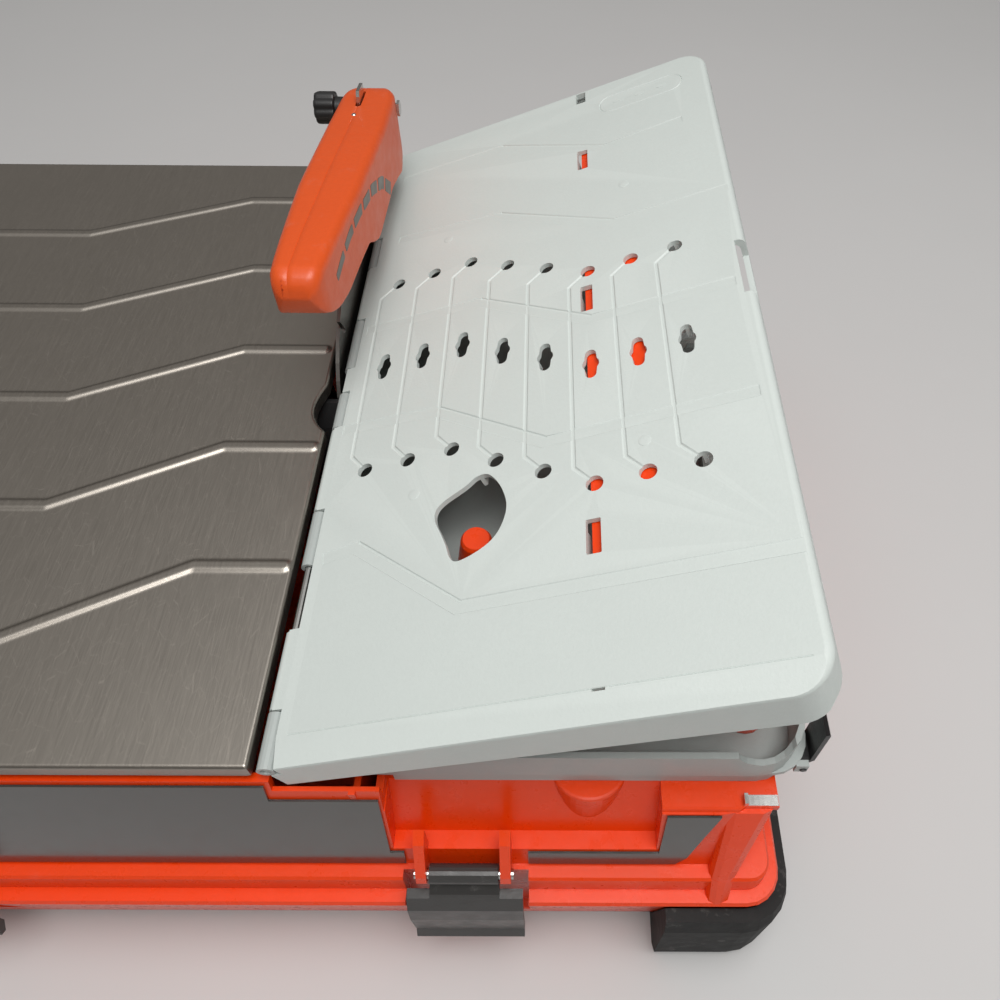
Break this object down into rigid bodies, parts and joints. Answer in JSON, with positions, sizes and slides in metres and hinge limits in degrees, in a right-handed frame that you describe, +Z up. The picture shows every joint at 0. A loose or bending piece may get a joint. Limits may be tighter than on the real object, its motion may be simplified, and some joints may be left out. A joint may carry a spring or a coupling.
{
  "type": "tile cutter",
  "caption": "Table-top tile saw with a ribbed steel table, a hinged perforated side table, a pivoting blade guard, a geared motor and a latched dust tray.",
  "frame": {"origin": "Centre of the overall bounding box's underside, on the floor under the rubber feet.", "axes": "+X to the saw's right, across the blade; +Y to the back, the way a tile is fed; +Z up."},
  "size_m": [0.6026, 0.5216, 0.291],
  "materials": {
    "orange_shell": "satin moulded orange-red nylon",
    "light_grey_plastic": "fine textured light grey moulding",
    "dark_grey_gloss": "glossy dark grey",
    "black_plastic": "satin black moulding",
    "black_rubber": "matt black rubber",
    "stainless_steel": "brushed stainless sheet with fine scratches",
    "bright_steel": "bright zinc plated or ground steel",
    "cast_aluminium": "bead blasted casting",
    "copper_winding": "varnished copper windings",
    "diamond_blade": "ground steel with a sintered rim"
  },
  "bodies": {
    "base": {"arbor_front_bearing": "bright_steel", "arbor_rear_bearing": "bright_steel", "armature_front_bearing": "bright_steel", "armature_rear_bearing": "bright_steel", "back_left_rubber_foot": "black_rubber", "back_right_rubber_foot": "black_rubber", "blade_shroud": "black_plastic", "body_shell": "orange_shell", "cable_gland": "black_rubber", "corner_bracket": "bright_steel", "dust_tray": "orange_shell", "front_left_rubber_foot": "black_rubber", "front_right_rubber_foot": "black_rubber", "gearbox_cover": "cast_aluminium", "gearbox_housing": "cast_aluminium", "guard_pivot_bolt": "bright_steel", "hinge_rod": "bright_steel", "knife_clamp_plate": "bright_steel", "knife_mount": "cast_aluminium", "left_front_trim": "dark_grey_gloss", "left_latch_pin": "bright_steel", "lower_brush_holder": "black_plastic", "motor_housing": "orange_shell", "right_front_trim": "dark_grey_gloss", "right_latch_pin": "bright_steel", "riving_knife": "bright_steel", "side_tray": "light_grey_plastic", "stator": "copper_winding", "switch_frame": "black_plastic", "table_top": "stainless_steel", "upper_brush_holder": "black_plastic", "wrench_blade": "bright_steel", "wrench_grip": "orange_shell"},
    "lid": {"lid_panel": "light_grey_plastic", "rip_fence": "orange_shell", "front_fence_peg": "bright_steel", "back_fence_peg": "bright_steel"},
    "fence_key": {"fence_key": "bright_steel"},
    "guard": {"guard_left_shell": "orange_shell", "guard_right_shell": "orange_shell", "guard_screw_1": "bright_steel", "guard_screw_2": "bright_steel"},
    "guard_knob": {"guard_knob": "black_plastic"},
    "arbor": {"diamond_blade": "diamond_blade", "arbor_shaft": "bright_steel", "inner_flange": "bright_steel", "outer_flange": "bright_steel", "arbor_nut": "bright_steel", "driven_gear": "bright_steel"},
    "armature": {"armature_shaft": "bright_steel", "pinion": "bright_steel", "armature_core": "copper_winding", "commutator": "copper_winding", "motor_fan": "black_plastic"},
    "selector": {"selector_knob": "orange_shell", "dust_gate": "cast_aluminium"},
    "right_latch": {"right_latch": "dark_grey_gloss"},
    "left_latch": {"left_latch": "dark_grey_gloss"},
    "lid_catch": {"lid_catch": "black_plastic"},
    "rocker": {"switch_rocker": "black_plastic"}
  },
  "joints": [
    {"name": "lid_hinge", "type": "hinge", "parent": "base", "child": "lid", "pos_m": [0.0555, 0.0102, 0.186], "axis": [0, -1, 0], "range_deg": [-21, 28]},
    {"name": "fence_key_turn", "type": "hinge", "parent": "lid", "child": "fence_key", "pos_m": [0.21653, 0.013, 0.2395], "axis": [-0.3597, 0, 0.9331], "range_deg": [0, 90]},
    {"name": "guard_tilt", "type": "hinge", "parent": "base", "child": "guard", "pos_m": [0.048, 0.2035, 0.251], "axis": [-1, 0, 0], "range_deg": [-12, 35]},
    {"name": "guard_knob_turn", "type": "hinge", "parent": "base", "child": "guard_knob", "pos_m": [0.021, 0.2035, 0.251], "axis": [1, 0, 0], "continuous": true},
    {"name": "arbor_spin", "type": "hinge", "parent": "base", "child": "arbor", "pos_m": [0.048, 0.0785, 0.13], "axis": [1, 0, 0], "continuous": true},
    {"name": "armature_spin", "type": "hinge", "parent": "base", "child": "armature", "pos_m": [0.148, 0.0785, 0.1015], "axis": [1, 0, 0], "continuous": true},
    {"name": "selector_turn", "type": "hinge", "parent": "base", "child": "selector", "pos_m": [0.1392, -0.112, 0.17], "axis": [0, 0, 1], "range_deg": [0, 145]},
    {"name": "right_latch_turn", "type": "hinge", "parent": "base", "child": "right_latch", "pos_m": [0.136, -0.244, 0.111], "axis": [-1, 0, 0], "range_deg": [0, 100]},
    {"name": "left_latch_turn", "type": "hinge", "parent": "base", "child": "left_latch", "pos_m": [-0.136, -0.244, 0.111], "axis": [-1, 0, 0], "range_deg": [0, 100]},
    {"name": "lid_catch_turn", "type": "hinge", "parent": "base", "child": "lid_catch", "pos_m": [0.294, -0.199, 0.156], "axis": [0, 1, 0], "range_deg": [0, 85]},
    {"name": "rocker_tilt", "type": "hinge", "parent": "base", "child": "rocker", "pos_m": [-0.187, -0.22429, 0.13683], "axis": [-1, 0, 0], "range_deg": [0, 15]}
  ],
  "couplings": [
    {"joint": "armature_spin", "follows": "arbor_spin", "ratio": -2.8}
  ]
}
